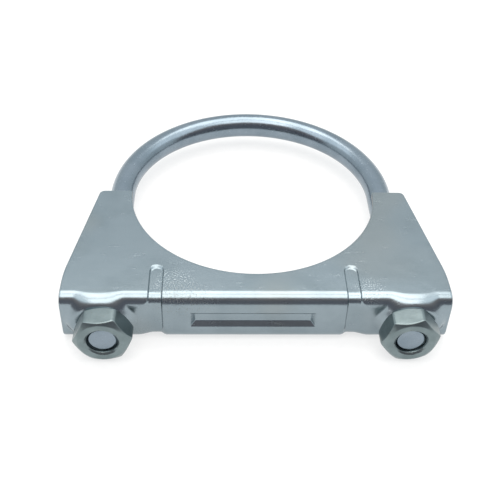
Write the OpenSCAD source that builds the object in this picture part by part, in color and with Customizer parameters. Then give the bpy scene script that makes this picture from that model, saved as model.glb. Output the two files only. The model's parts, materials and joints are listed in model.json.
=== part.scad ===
// U-bolt clamp for a round pipe: a bent rod with two threaded legs, a pressed
// channel saddle that the legs pass through, and one hexagon nut on each leg.
// The origin is the centre of the pipe as it lies in the saddle, halfway up the
// channel. +Z is the pipe's axis, the legs run towards -Y, and +X is to the
// right seen from the nuts. The clamp is shown open, with the nuts just on.

/* [Pipe] */
// Outside diameter of the pipe that the clamp closes on
pipe_d = 89; // [80:0.5:100]

/* [U-bolt] */
// Diameter of the plain rod
rod_d = 9.2; // [8.6:0.1:9.6]
// Gap between the pipe and the inside of each leg
leg_gap = 0.4; // [0.2:0.1:1]
// Length of the rolled thread on each leg
thread_len = 42; // [34:1:50]
// Outside diameter of the thread
thread_d = 9.85; // [9.7:0.01:9.95]
// Advance of the thread in one turn
thread_pitch = 1.5; // [1.25:0.25:1.75]
// Diameter of the flat end of each leg
end_d = 8.8; // [8:0.1:9]

/* [Saddle] */
// Width of the saddle from end to end
saddle_w = 127.6; // [122:0.2:136]
// Height of the channel, from the lower flange's face to the upper one's
saddle_h = 19; // [18:0.5:24]
// Thickness of the pressed sheet
sheet = 2.5; // [2:0.1:3]
// Outside radius of the two long bends
bend_r = 4.2; // [3.2:0.1:4.5]
// Depth of metal between the pipe and the face of the web
web_depth = 12.3; // [10:0.1:16]
// Distance of the bow's centre from the pipe's centre in the saddle, clamp open
open_gap = 9.6; // [4:0.2:12]
// How far each flank leans in from the web's end to the tip of the flange
flank_lean = 9.7; // [6:0.1:12]
// Length of the straight end of the web, before the flank leans in
end_len = 12.3; // [8:0.1:16]
// Radius of the outer corner of each flange tip
tip_r = 2; // [1:0.5:4]

/* [Pressed details] */
// Diameter of the hole for each leg
hole_d = 10.9; // [10.5:0.1:11.5]
// Distance that each nut seat stands out of the web
seat_out = 2.1; // [1:0.1:2.4]
// Radius of the flat top of each nut seat
seat_r = 8.6; // [7.6:0.1:8.8]
// Offset of each nut seat outwards from its hole
seat_shift = 1.2; // [0:0.1:1.6]
// Width of each gusset groove
groove_w = 4.4; // [3:0.1:6]
// Depth of each gusset groove
groove_deep = 0.9; // [0.6:0.1:1.2]
// Distance between the two inner walls of the gusset grooves
groove_gap = 60.4; // [52:0.2:66]
// Length of each gusset groove along the flange, behind the web's face
groove_run = 15.8; // [10:0.1:20]
// Offset of both gusset grooves from the saddle's middle
groove_shift = -0.6; // [-1.5:0.1:1.5]
// Length of the stiffening recess in the web
recess_w = 41.4; // [30:0.2:48]
// Offset of the stiffening recess from the saddle's middle
recess_shift = -1.1; // [-1.5:0.1:1.5]
// Height of the stiffening recess
recess_h = 6.4; // [5:0.2:8]
// Depth of the stiffening recess
recess_deep = 1.5; // [1:0.1:1.5]

/* [Nuts] */
// Distance across the flats of each nut
nut_af = 17; // [16:0.1:17.2]
// Thickness of each nut
nut_m = 8; // [7.6:0.1:9.3]
// Radial clearance between the nut's bore and the thread
nut_fit = 0.05; // [0.02:0.01:0.1]
// Depth that each leg's end sits inside its nut
end_sunk = 1.3; // [0.5:0.1:3]
// Turn of the left nut from flat side up
nut_left_turn = 4.5; // [0:0.5:30]
// Turn of the right nut from flat side up
nut_right_turn = 10; // [0:0.5:30]

/* [Hidden] */
$fn = 96;
ZINC = "#A9B8C0";
ZINC_DARK = "#93A3AD";
slack = 0.05;                                 // gap between a nut and its seat
over = 1;                                     // extra reach of a cutting shape
leg_x = pipe_d / 2 + leg_gap + rod_d / 2;     // centre of each leg
web_y = pipe_d / 2 + web_depth;               // face of the web, and depth of the channel
seat_y = web_y + seat_out;                    // face of each nut seat
nut_y = seat_y + slack;                       // back face of each nut
leg_len = open_gap + nut_y + nut_m - end_sunk;
half_w = saddle_w / 2;
half_h = saddle_h / 2;
tip_x = half_w - (web_y - end_len) * tan(flank_lean);
seat_x = leg_x + seat_shift;
seat_base_r = half_h - 0.1;                   // a seat's base stays inside the flanges
lead = (thread_d - end_d) / 2;                // chamfer on the leg's end
wash_d = 0.9 * nut_af;                        // flat ring on each face of a nut
chamfer_slope = tan(35);

// Points along an arc about [cx, cy], from angle a to angle b
function arc(cx, cy, r, a, b, steps = 8) =
    [for (i = [0 : steps]) let (t = a + (b - a) * i / steps) [cx + r * cos(t), cy + r * sin(t)]];

// A round shape about a line along -Y: its profile is [radius, distance] points
module turned_y(profile) {
    rotate([90, 0, 0]) rotate_extrude() polygon(profile);
}

// One straight leg with its plain shank, thread, run-out and chamfered end
module leg() {
    thread_start = leg_len - thread_len;
    turned_y([
        [0, 0],
        [rod_d / 2, 0],
        [rod_d / 2, thread_start],
        [thread_d / 2, thread_start + thread_pitch],
        [thread_d / 2, leg_len - lead],
        [end_d / 2, leg_len],
        [0, leg_len]
    ]);
}

module u_bolt() {
    color(ZINC) translate([0, open_gap, 0]) {
        rotate_extrude(angle = 180) translate([leg_x, 0]) circle(d = rod_d);
        for (side = [-1, 1]) translate([side * leg_x, 0, 0]) leg();
    }
}

// Section across the channel, its web's face on the Y axis, shrunk by inset
module channel_section(inset) {
    r = max(bend_r - inset, 0.4);
    h = half_h - inset;
    union() {
        translate([inset + r, -h]) square([web_y + over - inset - r, 2 * h]);
        translate([inset, -h + r]) square([r, 2 * (h - r)]);
        for (up = [-1, 1]) translate([inset + r, up * (h - r)]) circle(r = r);
    }
}

// A solid bar with the channel's section, shrunk by inset, along X
module channel_bar(x0, x1, inset) {
    translate([x0, -web_y, 0]) rotate([90, 0, 90]) linear_extrude(x1 - x0) channel_section(inset);
}

// Outline of the flanges seen from above, with rounded tip corners
module flange_outline() {
    right = concat(
        [[half_w, -web_y - seat_out - over], [half_w, -web_y + end_len]],
        arc(tip_x - tip_r, -tip_r, tip_r, flank_lean, 90)
    );
    left = [for (i = [len(right) - 1 : -1 : 0]) [-right[i].x, right[i].y]];
    polygon(concat(right, left));
}

// Cone of a pressed-out nut seat, shrunk by inset
module seat_cone(side, inset) {
    length = bend_r + seat_out - (inset > 0 ? sheet : 0);
    translate([side * seat_x, -web_y + bend_r, 0]) rotate([90, 0, 0])
        cylinder(h = length, r1 = seat_base_r - inset, r2 = seat_r - inset);
}

// Band over both flanges and the web where a gusset groove is pressed in
module groove_band(side, deep) {
    x0 = groove_shift + (side > 0 ? groove_gap / 2 : -groove_gap / 2 - groove_w);
    round_y = -web_y + groove_run - groove_w / 2;
    intersection() {
        difference() {
            channel_bar(x0, x0 + groove_w, deep - groove_deep);
            channel_bar(x0 - over, x0 + groove_w + over, deep);
        }
        linear_extrude(2 * saddle_h, center = true) union() {
            translate([x0, -web_y - over]) square([groove_w, round_y + web_y + over]);
            translate([x0 + groove_w / 2, round_y]) circle(d = groove_w);
        }
    }
}

// Long recess with sloping sides, pressed into the web at the given depth
module recess(at) {
    mouth = recess_h / 2;
    floor_h = mouth - recess_deep;
    translate([recess_shift - recess_w / 2, -web_y + at, 0]) rotate([90, 0, 90]) linear_extrude(recess_w)
        polygon([[0, -mouth], [recess_deep, -floor_h], [recess_deep, floor_h], [0, mouth]]);
}

module saddle() {
    color(ZINC_DARK) difference() {
        union() {
            intersection() {
                difference() {
                    union() {
                        channel_bar(-half_w, half_w, 0);
                        for (side = [-1, 1]) seat_cone(side, 0);
                    }
                    channel_bar(-half_w - over, half_w + over, sheet);
                    for (side = [-1, 1]) seat_cone(side, sheet);
                }
                linear_extrude(2 * saddle_h, center = true) flange_outline();
            }
            for (side = [-1, 1]) groove_band(side, sheet + groove_deep);
            recess(sheet);
        }
        cylinder(d = pipe_d, h = 2 * saddle_h, center = true, $fn = 192);
        for (side = [-1, 1]) {
            translate([side * leg_x, -web_y + sheet + over, 0]) rotate([90, 0, 0])
                cylinder(d = hole_d, h = sheet + seat_out + 2 * over);
            groove_band(side, groove_deep);
        }
        recess(0);
    }
}

// Hexagon nut about the Y axis, its back face at y = 0 and its front at -nut_m
module nut(turn) {
    corner_r = nut_af / 2 / cos(30);
    rim = (corner_r - wash_d / 2) * chamfer_slope;
    bore_r = thread_d / 2 + nut_fit;
    sink = 0.7;
    rotate([0, -turn, 0]) difference() {
        intersection() {
            rotate([90, 0, 0]) cylinder(r = corner_r, h = nut_m, $fn = 6);
            turned_y([
                [0, 0],
                [wash_d / 2, 0],
                [corner_r, rim],
                [corner_r, nut_m - rim],
                [wash_d / 2, nut_m],
                [0, nut_m]
            ]);
        }
        turned_y([
            [0, -over],
            [bore_r + sink + over, -over],
            [bore_r, sink],
            [bore_r, nut_m - sink],
            [bore_r + sink + over, nut_m + over],
            [0, nut_m + over]
        ]);
    }
}

module nut_left() {
    color(ZINC) translate([-leg_x, -nut_y, 0]) nut(nut_left_turn);
}

module nut_right() {
    color(ZINC) translate([leg_x, -nut_y, 0]) nut(nut_right_turn);
}

u_bolt();
saddle();
nut_left();
nut_right();
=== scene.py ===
import json
import math

import bmesh
import bpy
from mathutils import Matrix, Vector


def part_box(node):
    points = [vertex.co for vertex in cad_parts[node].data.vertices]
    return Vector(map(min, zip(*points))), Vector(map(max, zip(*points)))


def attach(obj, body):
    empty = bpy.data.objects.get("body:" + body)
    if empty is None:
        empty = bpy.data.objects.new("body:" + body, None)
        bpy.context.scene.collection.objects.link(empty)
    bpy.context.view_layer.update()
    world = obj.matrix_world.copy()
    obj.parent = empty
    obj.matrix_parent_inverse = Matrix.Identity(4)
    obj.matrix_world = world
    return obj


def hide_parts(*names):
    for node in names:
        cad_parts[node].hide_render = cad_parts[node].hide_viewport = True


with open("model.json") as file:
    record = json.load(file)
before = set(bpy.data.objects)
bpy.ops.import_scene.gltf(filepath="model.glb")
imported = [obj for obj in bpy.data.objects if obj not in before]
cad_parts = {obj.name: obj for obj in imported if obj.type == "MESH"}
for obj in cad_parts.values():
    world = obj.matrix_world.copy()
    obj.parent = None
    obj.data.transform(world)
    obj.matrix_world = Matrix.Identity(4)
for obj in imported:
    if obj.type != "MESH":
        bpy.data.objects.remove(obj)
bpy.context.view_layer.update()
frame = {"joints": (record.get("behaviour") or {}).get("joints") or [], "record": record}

# A clear zinc plated U-bolt clamp: a bent rod with two threaded legs, a pressed channel
# saddle and two nuts. The pieces are worked out in millimetres and made in metres.
MM = 0.001
mounts = {mount["name"]: mount for mount in frame["record"]["mounts"]}
joints = {joint["name"]: joint for joint in frame["joints"]}


def box_mm(node):
    """The lowest and highest corner of a CAD node, in millimetres."""
    low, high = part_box(node)
    return low / MM, high / MM


saddle_low, saddle_high = box_mm("saddle")
bolt_low, bolt_high = box_mm("u_bolt")
nut_low, nut_high = box_mm("nut_right")

# Rod and its threads
ROD_R = 4.6
BOW_SPREAD = 0.25
THREAD_LEN = 42
THREAD_R = 4.925
THREAD_ROOT_R = 4.1
PITCH = joints["bolt_draw"]["range_m"][1] / MM / (joints["nut_right_turn"]["range_deg"][1] / 360)
END_R = 4.4
LEG_X = joints["nut_right_turn"]["pos_m"][0] / MM
BOW_Y = bolt_high.y - LEG_X - ROD_R
LEG_END_Y = bolt_low.y

# Saddle, a channel pressed from one sheet
SHEET = 2.5
BEND_R = 4.2
HALF_W = saddle_high.x
HALF_H = saddle_high.z
PIPE_R = mounts["pipe_seat"]["dims"]["r_mm"]
SEAT_OUT = 2.1
SEAT_Y = saddle_low.y
WEB_Y = SEAT_Y + SEAT_OUT
BEND_Y = WEB_Y + BEND_R
BEND_Z = HALF_H - BEND_R
FLANK_CORNER_Y = WEB_Y + 12.3
TIP_X = 56.19
TIP_R = 2.0
FLANK_BLEND_R = 50.0
HOLE_R = 5.45
EDGE_R = 0.35

# Nuts
NUT_AF = 17.0
NUT_M = nut_high.y - nut_low.y
NUT_TURNS = {"nut_left": 4.5, "nut_right": 10.0}
CORNER_R = 0.8
CHAMFER = 36
BORE_R = 5.02
BORE_CREST_R = 4.6
BORE_SINK = 0.7


def smooth(value, start, end):
    """0 before start, 1 after end, and a smooth rise between them."""
    t = min(max((value - start) / (end - start), 0.0), 1.0)
    return t * t * (3 - 2 * t)


def ruled(start, spans):
    """Marks from start on, for spans of (end, step): each span is split evenly, near its step."""
    marks = [start]
    for end, step in spans:
        count = max(1, round((end - marks[-1]) / step))
        first = marks[-1]
        marks += [first + (end - first) * (i + 1) / count for i in range(count)]
    return marks


def make_piece(name, points, faces, cut=None):
    """A smooth mesh from points in millimetres. cut gives each point's share of sheared edge."""
    mesh = bpy.data.meshes.new(name)
    mesh.from_pydata([Vector(p) * MM for p in points], [], faces)
    if cut:
        mesh.attributes.new("cut", "FLOAT", "POINT").data.foreach_set("value", cut)
    form = bmesh.new()
    form.from_mesh(mesh)
    bmesh.ops.remove_doubles(form, verts=form.verts, dist=0.002 * MM)
    bmesh.ops.dissolve_degenerate(form, edges=form.edges, dist=0.001 * MM)
    bmesh.ops.recalc_face_normals(form, faces=form.faces)
    form.to_mesh(mesh)
    form.free()
    mesh.polygons.foreach_set("use_smooth", [True] * len(mesh.polygons))
    piece = bpy.data.objects.new(name, mesh)
    bpy.context.scene.collection.objects.link(piece)
    even = piece.modifiers.new("even_normals", "WEIGHTED_NORMAL")
    even.weight = 50
    return piece


# ---------------------------------------------------------------- saddle

GROOVE_X = 32.4
GROOVE_END_Y = WEB_Y + 13.6
GROOVE_HALF_W = 2.2
GROOVE_WALL = 0.5
GROOVE_DEEP = 0.6
GROOVE_WEB_DEEPER = 0.3
GROOVE_WEB_WIDER = 1.2
RECESS_HALF_W = 20.7
RECESS_HALF_H = 3.2
RECESS_SLOPE = 1.65
RECESS_DEEP = 1.5
RECESS_EASE = 0.15
TOOL_SHIFT = -0.65
RECESS_SHIFT = -1.1
SEAT_X = LEG_X + 1.8
SEAT_R = 8.6
SEAT_FOOT_R = 12.2
SEAT_TOP = 9.1
SEAT_BEND_REACH = 3.5
PATCH_HALF = 7.0
FAN_X = 38.0
BEND_STEPS = 20
PATCH_STEPS = 13
TINY = 1e-6


def seat_press(x, y, z):
    """How far the nut seat pushes the sheet out of the web, bends included. It is flat under
    the nut, and eases into the sheet around it and over the bends."""
    above = SEAT_TOP * math.sin(math.pi / 2 * min(z / HALF_H, 1.0))
    reach = math.hypot(x - SEAT_X, above)
    over_bend = smooth(-y, -BEND_Y - SEAT_BEND_REACH, -WEB_Y)
    return SEAT_OUT * (1 - smooth(reach, SEAT_R, SEAT_FOOT_R)) * over_bend


def groove_press(x, y, z, up):
    """How deep the gusset groove is pressed in. Its inner wall is sharp, and its outer one
    spreads and fades from the upper bend (up = 1) down over the web to the lower one."""
    across = x - GROOVE_X
    onto_web = smooth(-z, -8.5, -3.5) if up > 0 else 1.0
    low_bend = smooth(z, 2.0, 8.0) if up < 0 else 0.0
    wall = GROOVE_WALL * (1 + 3 * low_bend)
    if across > 0:
        wall = GROOVE_WALL * (1 + 10 * onto_web)
        across = max(across - GROOVE_WEB_WIDER * onto_web, 0.0)
    beyond = max(y - GROOVE_END_Y, 0.0)
    outside = math.hypot(across, beyond) - GROOVE_HALF_W
    deep = GROOVE_DEEP + GROOVE_WEB_DEEPER * onto_web
    return deep * (1 - smooth(outside, -wall / 2, wall / 2))


def ramp(value, width, easing):
    """0 below 0, 1 above width and straight between, with eased corners."""
    total = 0
    for shift in (-1, -0.5, 0, 0.5, 1):
        total += min(max((value + shift * easing) / width, 0.0), 1.0)
    return total / 5


def recess_press(x, z, half_w):
    """How deep the stiffening recess is pressed into the web: a flat floor and sloping sides."""
    inside = min(half_w - x, RECESS_HALF_H - z)
    return RECESS_DEEP * ramp(inside, RECESS_SLOPE, RECESS_EASE)


class Sheet:
    """One quarter of the pressed sheet, beside the middle and above it: the outer face's points,
    their normals and how far pressing moves them. side is 1 on the right and -1 on the left, and
    up is 1 for the upper half and -1 for the lower one, built as if it were above."""

    def __init__(self, side, up):
        self.side = side
        self.up = up
        self.points = []
        self.normals = []
        self.faces = []
        self.rims = []

    def point(self, x, y, z, normal):
        """Adds a point of the outer face, and returns its number."""
        at = Vector((x, y, z))
        press = Vector((0, -seat_press(x, y, z), 0))
        press -= normal * groove_press(x - self.side * TOOL_SHIFT, y, z, self.up)
        if z < BEND_Z and y < BEND_Y:
            press -= normal * recess_press(x, z, RECESS_HALF_W + self.side * RECESS_SHIFT)
        self.points.append((at, press))
        self.normals.append(normal)
        return len(self.points) - 1

    def front_point(self, x, z):
        """Adds a point of the web, or of the bend above it."""
        if z <= BEND_Z:
            return self.point(x, WEB_Y, z, Vector((0, -1, 0)))
        turn = math.acos((z - BEND_Z) / BEND_R)
        return self.bend_point(x, turn)

    def bend_point(self, x, turn):
        normal = Vector((0, -math.sin(turn), math.cos(turn)))
        place = Vector((x, BEND_Y, BEND_Z)) + normal * BEND_R
        return self.point(place.x, place.y, place.z, normal)

    def weave(self, columns):
        """Fills between neighbouring columns of point numbers with faces."""
        for left, right in zip(columns, columns[1:]):
            for i in range(min(len(left), len(right)) - 1):
                self.faces.append((left[i], left[i + 1], right[i + 1], right[i]))


def round_corner(before, corner, after, radius, steps):
    """Points of the arc that rounds a corner between two straight edges."""
    a = (before - corner).normalized()
    b = (after - corner).normalized()
    half = a.angle(b) / 2
    middle = corner + (a + b).normalized() * radius / math.sin(half)
    start = corner + a * radius / math.tan(half)
    turn = (start - middle).angle_signed(corner + b * radius / math.tan(half) - middle)
    arc = []
    for i in range(steps + 1):
        spoke = (start - middle).copy()
        spoke.rotate(Matrix.Rotation(-turn * i / steps, 2))
        arc.append(middle + spoke)
    return arc


def flank_line():
    """The flange's outer edge from the bend up the flank to the rear edge, rounding included,
    set in from the true edge by the edge's own radius."""
    inset = EDGE_R
    lean = Vector((TIP_X - HALF_W, -FLANK_CORNER_Y)).normalized()
    shift = Vector((-lean.y, lean.x)) * inset
    foot = Vector((HALF_W - inset, BEND_Y))
    corner = Vector((HALF_W - inset, FLANK_CORNER_Y))
    rise = (-inset - FLANK_CORNER_Y - shift.y) / lean.y
    tip = Vector((HALF_W, FLANK_CORNER_Y)) + shift + lean * rise
    rear = Vector((PIPE_R, -inset))
    blend = round_corner(foot, corner, tip, FLANK_BLEND_R, 12)
    end = round_corner(corner, tip, rear, TIP_R - inset, 8)
    straight = []
    for start, stop in ((foot, blend[0]), (blend[-1], end[0])):
        count = max(2, round((stop - start).length / 0.8))
        straight.append([start.lerp(stop, i / count) for i in range(count)])
    return straight[0] + blend[:-1] + straight[1] + end


def saddle_sheet(side, up):
    """One quarter of the sheet, in columns from the pipe's cut-out over the bend to the middle
    of the web, with its rims. The columns are close together where something is pressed in."""
    sheet = Sheet(side, up)
    upward = Vector((0, 0, 1))
    cut_r = PIPE_R + EDGE_R
    recess_end = RECESS_HALF_W + side * RECESS_SHIFT
    groove_in = GROOVE_X - GROOVE_HALF_W + side * TOOL_SHIFT
    groove_out = GROOVE_X + GROOVE_HALF_W + side * TOOL_SHIFT
    strip_x = ruled(0.0, [
        (recess_end - 2.0, 0.9), (recess_end + 0.3, 0.15), (groove_in - 0.4, 0.8),
        (groove_in + 0.4, 0.1), (groove_out - 0.4, 0.4), (groove_out + 0.4, 0.1), (FAN_X, 0.25),
        (LEG_X - PATCH_HALF, 0.5), (LEG_X + PATCH_HALF, 0.5), (HALF_W - EDGE_R, 0.5),
    ])
    flank = flank_line()[1:]
    fan_start = strip_x.index(FAN_X)
    fan_count = len(strip_x) - 1 - fan_start + len(flank)
    first_angle = math.asin(FAN_X / cut_r)
    last_angle = math.acos(EDGE_R / cut_r)
    starts = [Vector((x, -math.sqrt(cut_r ** 2 - x ** 2))) for x in strip_x[:fan_start + 1]]
    for i in range(fan_count):
        turn = first_angle + (last_angle - first_angle) * (i + 1) / fan_count
        starts.append(Vector((cut_r * math.sin(turn), -cut_r * math.cos(turn))))
    ends = [Vector((x, BEND_Y)) for x in strip_x] + flank
    shares = ruled(0.0, [(0.38, 0.06), (0.64, 0.018), (0.88, 0.05), (1.0, 0.03)])
    rows = len(shares) - 1
    columns = []
    for start, end in zip(starts, ends):
        line = [start.lerp(end, share) for share in shares]
        columns.append([sheet.point(p.x, p.y, HALF_H, upward) for p in line])
    web_z = ruled(0.0, [(1.3, 0.35), (3.5, 0.15), (BEND_Z, 0.4)])[-2::-1]
    patch = [i for i, x in enumerate(strip_x) if abs(x - LEG_X) <= PATCH_HALF + TINY]
    for column, x in zip(columns, strip_x):
        in_patch = abs(x - LEG_X) < PATCH_HALF - TINY
        steps = PATCH_STEPS if in_patch else BEND_STEPS
        column += [sheet.bend_point(x, math.pi / 2 * i / BEND_STEPS) for i in range(1, steps + 1)]
        column += [] if in_patch else [sheet.front_point(x, z) for z in web_z]
    sheet.weave(columns)
    hole = hole_patch(sheet, columns, patch, rows + PATCH_STEPS)
    end_column = columns[len(strip_x) - 1]
    outline = [column[0] for column in columns]
    outline += columns[-1][1:rows + 1]
    outline += [column[rows] for column in columns[-2:len(strip_x) - 2:-1]]
    outline += end_column[rows + 1:]
    sheet.rims = [outline, hole]
    return sheet


def hole_patch(sheet, columns, patch, bend_end):
    """Rings of faces from the square left in the web to the round hole for the leg."""
    first, last = columns[patch[0]], columns[patch[-1]]
    square = first[:bend_end:-1] + [columns[i][bend_end] for i in patch] + last[bend_end + 1:]
    rings = [square]
    round_r = HOLE_R + EDGE_R
    steps = 10
    corners = [sheet.points[i][0] for i in square]
    for step in range(1, steps + 1):
        share = step / steps
        ring = []
        for corner in corners:
            spoke = Vector((corner.x - LEG_X, corner.z))
            place = spoke.lerp(spoke.normalized() * round_r, share)
            ring.append(sheet.front_point(LEG_X + place.x, place.y))
        rings.append(ring)
    sheet.weave(rings)
    return rings[-1]


def rim_outward(sheet, rim, i):
    """The direction out of the metal at a point of a rim, along the sheet."""
    number = rim[i]
    at = sheet.points[number][0]
    before = sheet.points[rim[max(i - 1, 0)]][0]
    after = sheet.points[rim[min(i + 1, len(rim) - 1)]][0]
    along = (after - at).normalized() + (at - before).normalized()
    if i in (0, len(rim) - 1):
        on_middle = abs(at.x) < TINY
        along = Vector((along.x, along.y, 0)) if on_middle else Vector((0, 0, along.z))
    return sheet.normals[number].cross(along).normalized()


def saddle_quarter(side, up):
    """Points, faces and sheared edge shares of the quarter's outer face, inner face and rims."""
    sheet = saddle_sheet(side, up)
    outer = [at + press for at, press in sheet.points]
    inner = [at - n * SHEET + press for (at, press), n in zip(sheet.points, sheet.normals)]
    count = len(outer)
    points = outer + inner
    faces = sheet.faces + [tuple(count + i for i in face[::-1]) for face in sheet.faces]
    cut = [0.0] * len(points)
    turns = [math.radians(t) for t in (22.5, 45, 67.5, 90)]
    for rim in sheet.rims:
        strips = []
        for i, number in enumerate(rim):
            out = rim_outward(sheet, rim, i)
            n = sheet.normals[number]
            strip = [number]
            roundings = ((outer[number], -n, turns), (inner[number], n, turns[::-1]))
            for face_point, down, order in roundings:
                for t in order:
                    round_off = math.sin(t) * out + (1 - math.cos(t)) * down
                    points.append(face_point + EDGE_R * round_off)
                    cut.append(math.sin(t) ** 4)
                    strip.append(len(points) - 1)
            strips.append(strip + [count + number])
        for left, right in zip(strips, strips[1:]):
            faces += [(left[k], left[k + 1], right[k + 1], right[k]) for k in range(len(left) - 1)]
    return points, faces, cut


def build_saddle():
    """The whole pressed sheet, from its four quarters."""
    all_points, all_faces, all_cut = [], [], []
    for side in (1, -1):
        for up in (1, -1):
            points, faces, cut = saddle_quarter(side, up)
            base = len(all_points)
            all_points += [(side * p.x, p.y, up * p.z) for p in points]
            all_faces += [tuple(base + i for i in face) for face in faces]
            all_cut += cut
    return make_piece("pressed_saddle", all_points, all_faces, all_cut)


# ---------------------------------------------------------------- threads

def thread_marks(crest_r, root_r):
    """One turn of a 60 degree thread as (share of the pitch, radius) at its corners."""
    flat = 0.0625
    flank = abs(crest_r - root_r) / math.sqrt(3) / PITCH
    middle = (crest_r + root_r) / 2
    return [
        (flat, crest_r),
        (flat + flank / 2, middle),
        (flat + flank, root_r),
        (0.5, root_r),
        (1 - flat - flank, root_r),
        (1 - flat - flank / 2, middle),
        (1 - flat, crest_r),
    ]


def helix(angles, start, end, marks, limit):
    """Points and faces of a screw thread from start to end along its axis, as (angle, radius,
    distance). Its rows follow the helix, and limit(distance, radius) shapes the run-out."""
    turns_start = math.floor(start / PITCH) - 2
    turns_end = math.ceil(end / PITCH) + 1
    rows = [(t + share, radius) for t in range(turns_start, turns_end) for share, radius in marks]
    points = []
    for share, radius in rows:
        for angle in angles:
            distance = (share + angle / (2 * math.pi)) * PITCH
            distance = min(max(distance, start), end)
            points.append((angle, limit(distance, radius), distance))
    faces = []
    wide = len(angles)
    for k in range(len(rows) - 1):
        for i in range(wide - 1):
            a = k * wide + i
            faces.append((a, a + 1, a + wide + 1, a + wide))
        after = k + len(marks)
        if after + 1 < len(rows):
            last = k * wide + wide - 1
            faces.append((last, after * wide, (after + 1) * wide, last + wide))
    return points, faces


# ---------------------------------------------------------------- U-bolt

def build_u_bolt():
    """The bent rod: a half round bow, two legs with rolled threads and a flat end on each."""
    around = 64
    bow_steps = 150
    shank_steps = 8
    angles = [2 * math.pi * i / around for i in range(around)]
    points, faces = [], []

    def ring(centre, across, up, radius, spread=0.0):
        first = len(points)
        for angle in angles:
            spoke = radius * math.cos(angle) * across + (radius + spread) * math.sin(angle) * up
            points.append(centre + spoke)
        return list(range(first, first + around))

    def join(rings):
        for one, two in zip(rings, rings[1:]):
            for i in range(around):
                j = (i + 1) % around
                faces.append((one[i], one[j], two[j], two[i]))

    up = Vector((0, 0, 1))
    bow = []
    for i in range(bow_steps + 1):
        turn = math.pi * i / bow_steps
        across = Vector((math.cos(turn), math.sin(turn), 0))
        centre = Vector((0, BOW_Y, 0)) + across * LEG_X
        bow.append(ring(centre, across, up, ROD_R, BOW_SPREAD * math.sin(turn) ** 2))
    join(bow)
    leg_len = BOW_Y - LEG_END_Y
    plain = leg_len - THREAD_LEN
    right = Vector((1, 0, 0))
    for side in (1, -1):
        foot = Vector((side * LEG_X, BOW_Y, 0))
        drops = [Vector((0, plain * i / shank_steps, 0)) for i in range(shank_steps + 1)]
        join([ring(foot - drop, right, up, ROD_R) for drop in drops])

        def leg_limit(distance, radius):
            start = smooth(distance, plain, plain + 2 * PITCH)
            radius = ROD_R + (radius - ROD_R) * start
            tip = END_R + leg_len - distance
            close = smooth(distance, leg_len - 0.5, leg_len)
            return min(radius + (END_R - radius) * close, tip)

        marks = thread_marks(THREAD_R, THREAD_ROOT_R)
        screw, screw_faces = helix(angles, plain, leg_len, marks, leg_limit)
        base = len(points)
        for angle, radius, distance in screw:
            spoke = Vector((math.cos(angle), 0, math.sin(angle))) * radius
            points.append(foot + spoke - Vector((0, distance, 0)))
        faces += [tuple(base + i for i in face) for face in screw_faces]
        end = foot - Vector((0, leg_len, 0))
        rings = [ring(end, right, up, END_R)]
        rings += [ring(end, right, up, r) for r in (END_R - 0.3, 3.0, 1.5, 0.5)]
        join(rings)
        faces.append(tuple(rings[-1]))
    return make_piece("bent_rod", points, faces)


# ---------------------------------------------------------------- nuts

def hexagon_r(angle):
    """The outline of a nut: flats with softly rounded corners. A flat is centred on +Z."""
    half = NUT_AF / 2
    corner_off = math.radians((math.degrees(angle) + 30) % 60 - 30)
    centre = (half - CORNER_R) / math.cos(math.radians(30))
    reach = math.atan2(CORNER_R * 0.5, centre + CORNER_R * math.cos(math.radians(30)))
    if abs(corner_off) < reach:
        beside = centre * math.sin(corner_off)
        return centre * math.cos(corner_off) + math.sqrt(CORNER_R ** 2 - beside ** 2)
    return half / math.cos(math.radians(30) - abs(corner_off))


def ease(profile, size):
    """Rounds each inner corner of a profile with three points."""
    eased = [profile[0]]
    for before, corner, after in zip(profile, profile[1:], profile[2:]):
        a = corner + (before - corner).normalized() * size
        b = corner + (after - corner).normalized() * size
        eased += [a, (a + b + 2 * corner) / 4, b]
    return eased + [profile[-1]]


def build_nut(name):
    """A hexagon nut, turned as it sits on its leg, with a chamfer on each face and a thread."""
    turn = math.radians(NUT_TURNS[name])
    low, high = box_mm(name)
    side = -1 if low.x < 0 else 1
    centre = Vector((side * LEG_X, high.y, 0))
    wash_r = 0.45 * NUT_AF
    offsets = (0, 0.7, 1.4, 3, 6, 10, 14, 18, 22, 26)
    offsets = (-30, *(-off for off in offsets[:0:-1]), *offsets)
    angles = [math.radians(60 * k + 30 + off) for k in range(6) for off in offsets]
    points, faces = [], []
    columns = []
    slope = math.tan(math.radians(CHAMFER))
    mouth_r = BORE_R + BORE_SINK
    for angle in angles:
        outline = hexagon_r(angle)
        rim = (outline - wash_r) * slope
        profile = [
            Vector((mouth_r, 0)), Vector((wash_r, 0)), Vector((outline, rim)),
            Vector((outline, NUT_M - rim)), Vector((wash_r, NUT_M)), Vector((mouth_r, NUT_M)),
        ]
        column = []
        for r, d in ease(profile, 0.3):
            points.append(Vector((math.cos(angle + turn) * r, -d, math.sin(angle + turn) * r)))
            column.append(len(points) - 1)
        columns.append(column)
    for left, right in zip(columns, columns[1:] + columns[:1]):
        faces += [(left[k], left[k + 1], right[k + 1], right[k]) for k in range(len(left) - 1)]

    first = BOW_Y - high.y

    def bore_limit(distance, radius):
        depth = min(distance - first, first + NUT_M - distance)
        radius = BORE_R + (radius - BORE_R) * smooth(depth, 1.3, 2.2)
        return max(radius, mouth_r - depth)

    marks = thread_marks(BORE_R, BORE_CREST_R)
    world_angles = [a + turn for a in angles]
    screw, screw_faces = helix(world_angles, first, first + NUT_M, marks, bore_limit)
    base = len(points)
    for angle, radius, distance in screw:
        points.append(Vector((math.cos(angle) * radius, first - distance, math.sin(angle) * radius)))
    faces += [tuple(base + i for i in face) for face in screw_faces]
    piece = make_piece("hex_" + name, points, faces)
    piece.location = centre * MM
    return piece


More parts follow.
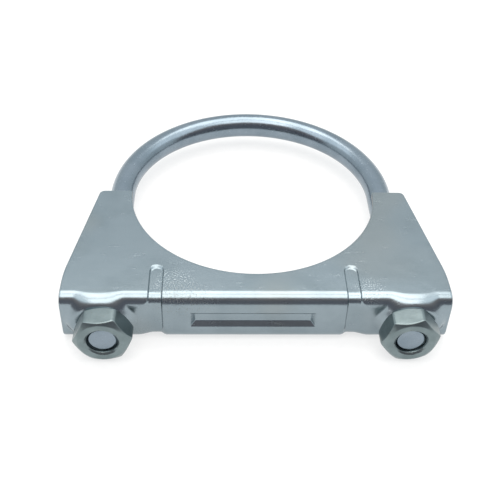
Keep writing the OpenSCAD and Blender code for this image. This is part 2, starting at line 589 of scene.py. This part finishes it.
saddle = build_saddle()
u_bolt = build_u_bolt()
nuts = {name: build_nut(name) for name in NUT_TURNS}
bpy.context.view_layer.update()


# ---------------------------------------------------------------- finishes

class Value:
    """A socket of a shader. Arithmetic on it adds Math nodes."""

    def __init__(self, finish, socket):
        self.finish = finish
        self.socket = socket

    def math(self, operation, first, second):
        return self.finish.node("ShaderNodeMath", {"operation": operation}, {0: first, 1: second})

    def __add__(self, other):
        return self.math("ADD", self, other)

    def __radd__(self, other):
        return self.math("ADD", other, self)

    def __sub__(self, other):
        return self.math("SUBTRACT", self, other)

    def __rsub__(self, other):
        return self.math("SUBTRACT", other, self)

    def __mul__(self, other):
        return self.math("MULTIPLY", self, other)

    def __rmul__(self, other):
        return self.math("MULTIPLY", other, self)


class Finish:
    """A material or the room's light, and the one way to add a node to it."""

    def __init__(self, tree):
        self.tree = tree
        self.tree.nodes.clear()

    def node(self, kind, settings=None, sockets=None, out=0):
        made = self.tree.nodes.new(kind)
        for key, value in (settings or {}).items():
            setattr(made, key, value)
        for key, value in (sockets or {}).items():
            if isinstance(value, Value):
                self.tree.links.new(value.socket, made.inputs[key])
            else:
                made.inputs[key].default_value = value
        return Value(self, made.outputs[out]) if made.outputs else None

    def place(self, scale=(1, 1, 1)):
        """The place on the piece, stretched by scale."""
        here = self.node("ShaderNodeTexCoord", out="Object")
        return self.node("ShaderNodeMapping", {}, {"Vector": here, "Scale": scale}, "Vector")

    def noise(self, size_mm, where=None, detail=2.0, rough=0.5):
        """Cloudy variation from 0 to 1, with patches about size_mm across."""
        sockets = {"Scale": 1 / (size_mm * MM), "Detail": detail, "Roughness": rough}
        sockets["Vector"] = where or self.place()
        return self.node("ShaderNodeTexNoise", {"noise_dimensions": "3D"}, sockets, "Fac")

    def rise(self, value, start, end):
        """0 below start and 1 above end, smoothly."""
        return self.node(
            "ShaderNodeMapRange",
            {"interpolation_type": "SMOOTHSTEP"},
            {"Value": value, "From Min": start, "From Max": end, "To Min": 0.0, "To Max": 1.0},
            "Result",
        )

    def blend(self, share, one, two):
        """Colour one where share is 0, and colour two where it is 1."""
        pair = [c if isinstance(c, Value) else (*c, 1) for c in (one, two)]
        return self.node(
            "ShaderNodeMix", {"data_type": "RGBA"}, {0: share, 6: pair[0], 7: pair[1]}, 2
        )

    def bump(self, height, depth_mm, under=None):
        """A relief of depth_mm from a height of 0 to 1, over the one under it."""
        sockets = {"Height": height, "Distance": depth_mm * MM, "Strength": 1.0}
        if under:
            sockets["Normal"] = under
        return self.node("ShaderNodeBump", {}, sockets, "Normal")

    def surface(self, colour, roughness, normal, metallic=1.0, glow=0.0):
        sockets = {"Base Color": colour, "Roughness": roughness, "Metallic": metallic}
        sockets.update({"Normal": normal, "Emission Color": (1, 1, 1, 1), "Emission Strength": glow})
        shader = self.node("ShaderNodeBsdfPrincipled", {}, sockets, "BSDF")
        self.node("ShaderNodeOutputMaterial", {}, {"Surface": shader})


def new_finish(name):
    """A new material and the finish to build it with."""
    material = bpy.data.materials.new(name)
    material.use_nodes = True
    return material, Finish(material.node_tree)


ZINC = (0.268, 0.324, 0.355)
ZINC_DEEP = (0.23, 0.283, 0.311)
ZINC_WARM = (0.297, 0.324, 0.324)
ZINC_CUT = (0.20, 0.22, 0.23)
ROD_ZINC = (0.248, 0.301, 0.347)
ROD_ZINC_DEEP = (0.2, 0.252, 0.294)
NUT_ZINC = (0.212, 0.262, 0.271)
NUT_ZINC_DEEP = (0.169, 0.213, 0.221)
DULL_SPOT = (0.16, 0.165, 0.15)
PALE_SPOT = (0.52, 0.58, 0.60)


def spot(f, place_mm, size_mm, stretch=(1, 1, 1)):
    """1 at a place on the piece, falling to 0 size_mm away from it."""
    here = f.node("ShaderNodeTexCoord", out="Object")
    away = f.node(
        "ShaderNodeVectorMath",
        {"operation": "SUBTRACT"},
        {0: here, 1: [c * MM for c in place_mm]},
        "Vector",
    )
    away = f.node("ShaderNodeVectorMath", {"operation": "MULTIPLY"}, {0: away, 1: stretch}, "Vector")
    reach = f.node("ShaderNodeVectorMath", {"operation": "LENGTH"}, {0: away}, "Value")
    return 1 - f.rise(reach, 0.3 * size_mm * MM, size_mm * MM)


def pressed_sheet_zinc():
    """Clear zinc over pressed sheet: cloudy, faintly yellow in places, rubbed where the tool
    bore on it, with dark sheared edges."""
    material, f = new_finish("zinc_on_pressed_sheet")
    cloud = f.noise(14, detail=3)
    tint = f.rise(f.noise(30, detail=1), 0.5, 0.75)
    speckle = f.noise(0.5, detail=2)
    rolled = f.noise(1.2, f.place((0.05, 1, 1)), detail=3)
    cut = f.node("ShaderNodeAttribute", {"attribute_name": "cut"}, out="Fac")
    tear = f.noise(0.4, f.place((1, 1, 0.15)), detail=3)
    fleck = f.rise(f.noise(0.45, detail=2, rough=0.7), 0.56, 0.66)
    rub = spot(f, (-27, -49, HALF_H), 9) + spot(f, (37, -52, HALF_H), 7)
    stain = spot(f, (-24, -55, HALF_H - 1), 9, (0.6, 1, 1))
    grit = f.rise(f.noise(0.25, detail=1), 0.66, 0.72)
    colour = f.blend(f.rise(cloud, 0.35, 0.7), ZINC, ZINC_DEEP)
    colour = f.blend(tint * 0.5, colour, ZINC_WARM)
    colour = f.blend(fleck * rub * 0.8, colour, PALE_SPOT)
    colour = f.blend(fleck * stain * 0.7 + grit * 0.35, colour, DULL_SPOT)
    colour = f.blend(cut * 0.8, colour, ZINC_CUT)
    scuff = f.rise(f.noise(2.2, f.place((0.25, 1, 1)), detail=4, rough=0.7), 0.62, 0.72)
    roughness = 0.19 + cloud * 0.06 + speckle * 0.04 + scuff * 0.10 + cut * 0.25
    roughness = roughness + fleck * (rub + stain) * 0.15
    normal = f.bump(cloud, 0.12)
    normal = f.bump(f.noise(5, f.place((0.5, 1, 1)), detail=1), 0.03, normal)
    normal = f.bump(speckle, 0.004, normal)
    normal = f.bump(rolled, 0.012, normal)
    normal = f.bump(fleck * (rub + stain), 0.012, normal)
    normal = f.bump(tear * cut, 0.06, normal)
    f.surface(colour, roughness, normal)
    return material


def drawn_rod_zinc():
    """Clear zinc over drawn wire: smooth and bright, with faint dull patches and flecks."""
    material, f = new_finish("zinc_on_drawn_rod")
    cloud = f.noise(9, detail=3)
    speckle = f.noise(0.4, detail=2)
    rub = f.rise(f.noise(1.6, f.place((1, 1, 2.5)), detail=4, rough=0.7), 0.58, 0.72)
    grit = f.rise(f.noise(0.3, detail=1), 0.64, 0.72)
    colour = f.blend(f.rise(cloud, 0.3, 0.7), ROD_ZINC, ROD_ZINC_DEEP)
    colour = f.blend(grit * 0.5, colour, DULL_SPOT)
    roughness = 0.17 + cloud * 0.08 + speckle * 0.04 + rub * 0.12
    normal = f.bump(f.noise(6, detail=2), 0.06)
    normal = f.bump(speckle, 0.003, normal)
    f.surface(colour, roughness, normal)
    return material


def nut_zinc():
    """Clear zinc over a cold formed nut: a little greener and duller, with uneven corners."""
    material, f = new_finish("zinc_on_nut")
    cloud = f.noise(5, detail=3)
    speckle = f.noise(0.35, detail=2)
    grit = f.rise(f.noise(0.4, detail=2), 0.62, 0.72)
    colour = f.blend(f.rise(cloud, 0.3, 0.7), NUT_ZINC, NUT_ZINC_DEEP)
    colour = f.blend(grit * 0.6, colour, DULL_SPOT)
    roughness = 0.22 + cloud * 0.12 + speckle * 0.06 + grit * 0.15
    normal = f.bump(cloud, 0.10)
    normal = f.bump(f.noise(1.5, detail=2), 0.03, normal)
    normal = f.bump(speckle, 0.01, normal)
    f.surface(colour, roughness, normal)
    return material


saddle.data.materials.append(pressed_sheet_zinc())
u_bolt.data.materials.append(drawn_rod_zinc())
nut_finish = nut_zinc()
for nut in nuts.values():
    nut.data.materials.append(nut_finish)

# ---------------------------------------------------------------- what rides on what

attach(saddle, "saddle")
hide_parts("saddle")
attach(u_bolt, "u_bolt")
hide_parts("u_bolt")
for name, nut in nuts.items():
    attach(nut, name)
    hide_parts(name)


# ---------------------------------------------------------------- studio

def add_floor():
    """A plain pale table top under the clamp."""
    size = 4.0
    mesh = bpy.data.meshes.new("table_top")
    z = saddle_low.z * MM
    corners = [(-size, -size, z), (size, -size, z), (size, size, z), (-size, size, z)]
    mesh.from_pydata(corners, [], [(0, 1, 2, 3)])
    floor = bpy.data.objects.new("table_top", mesh)
    bpy.context.scene.collection.objects.link(floor)
    material, f = new_finish("pale_table")
    grain = f.noise(3, detail=2)
    colour = f.blend(grain, (0.26, 0.26, 0.26), (0.30, 0.30, 0.30))
    f.surface(colour, 0.7 + grain * 0.05, f.bump(grain, 0.01), 0.0, 0.68)
    mesh.materials.append(material)


LAMP_COLOUR = (1.0, 0.93, 0.87)
PANEL_Z = 0.62


def add_panel(name, place, look_at, size, power, colour=(1, 1, 1)):
    """A soft light panel, hidden from the camera itself."""
    light = bpy.data.lights.new(name, "AREA")
    light.shape = "RECTANGLE"
    light.size, light.size_y = size
    light.energy = power
    light.color = colour
    panel = bpy.data.objects.new(name, light)
    panel.location = place
    panel.rotation_mode = "QUATERNION"
    panel.rotation_quaternion = (Vector(place) - Vector(look_at)).to_track_quat("Z", "Y")
    panel.visible_camera = False
    bpy.context.scene.collection.objects.link(panel)


def add_dark_card():
    """A dark card in front, seen only in reflections: it gives the bright metal its dark bands."""
    mesh = bpy.data.meshes.new("dark_card")
    y = -0.75
    high = 1.3
    half = 2.6
    corners = [(-half, y, 0), (half, y, 0), (half, y, high), (-half, y, high)]
    mesh.from_pydata(corners, [], [(0, 1, 2, 3)])
    card = bpy.data.objects.new("dark_card", mesh)
    bpy.context.scene.collection.objects.link(card)
    material, f = new_finish("dark_card")
    grain = f.noise(20)
    here = f.node("ShaderNodeTexCoord", out="Object")
    height = f.node("ShaderNodeSeparateXYZ", {}, {"Vector": here}, "Z")
    up_card = f.rise(height + grain * 0.1, 0.35, 1.1)
    colour = f.blend(up_card, (0.18, 0.17, 0.195), (0.38, 0.29, 0.27))
    f.surface(colour, 0.9, f.bump(grain, 0.1), 0.0)
    mesh.materials.append(material)
    card.visible_camera = False
    card.visible_shadow = False
    card.visible_diffuse = False


def light_room():
    """A pale room around the table, brighter overhead."""
    world = bpy.data.worlds.new("pale_room")
    bpy.context.scene.world = world
    world.use_nodes = True
    f = Finish(world.node_tree)
    way = f.node("ShaderNodeTexCoord", out="Generated")
    height = f.node("ShaderNodeSeparateXYZ", {}, {"Vector": way}, "Z")
    colour = f.blend(f.rise(height, 0.1, 0.7), (0.85, 0.90, 0.91), (0.95, 1.0, 1.03))
    room = f.node("ShaderNodeBackground", {}, {"Color": colour, "Strength": 1.0})
    f.node("ShaderNodeOutputWorld", {}, {"Surface": room})


def add_camera():
    """Looks down at the clamp from the nuts' side."""
    pitch, yaw, roll = (math.radians(a) for a in (41.03, 2.84, 2.15))
    forward = Vector((
        math.sin(yaw) * math.cos(pitch), math.cos(yaw) * math.cos(pitch), -math.sin(pitch)
    ))
    level = Vector((math.cos(yaw), -math.sin(yaw), 0))
    above = level.cross(forward)
    right = level * math.cos(roll) + above * math.sin(roll)
    up = above * math.cos(roll) - level * math.sin(roll)
    camera = bpy.data.objects.new("camera", bpy.data.cameras.new("camera"))
    camera.data.sensor_width = 36
    camera.data.lens = 60.2
    camera.data.clip_start = 0.01
    aside, higher, away = 0.51, 17.81, 324.5
    bow_centre = Vector((0, BOW_Y, 0))
    camera.location = (bow_centre - right * aside - up * higher - forward * away) * MM
    camera.rotation_mode = "QUATERNION"
    camera.rotation_quaternion = Matrix((right, up, -forward)).transposed().to_quaternion()
    bpy.context.scene.collection.objects.link(camera)
    bpy.context.scene.camera = camera


add_floor()
add_dark_card()
add_panel("rear_softbox", (0, 0.225, PANEL_Z), (0, 0.225, 0), (0.50, 0.41), 2.0, LAMP_COLOUR)
add_panel("front_softbox", (0, -0.20, PANEL_Z), (0, -0.20, 0), (0.50, 0.34), 1.5, LAMP_COLOUR)
for x in (-0.55, 0.55):
    add_panel("side_softbox", (x, 0.03, PANEL_Z), (x, 0.03, 0), (0.55, 0.7), 1.1)
add_panel("low_lamp", (-0.335, -0.50, 0.045), (0, 0.05, 0), (0.05, 0.03), 0.03, LAMP_COLOUR)
light_room()
add_camera()
bpy.context.scene.view_settings.view_transform = "Standard"
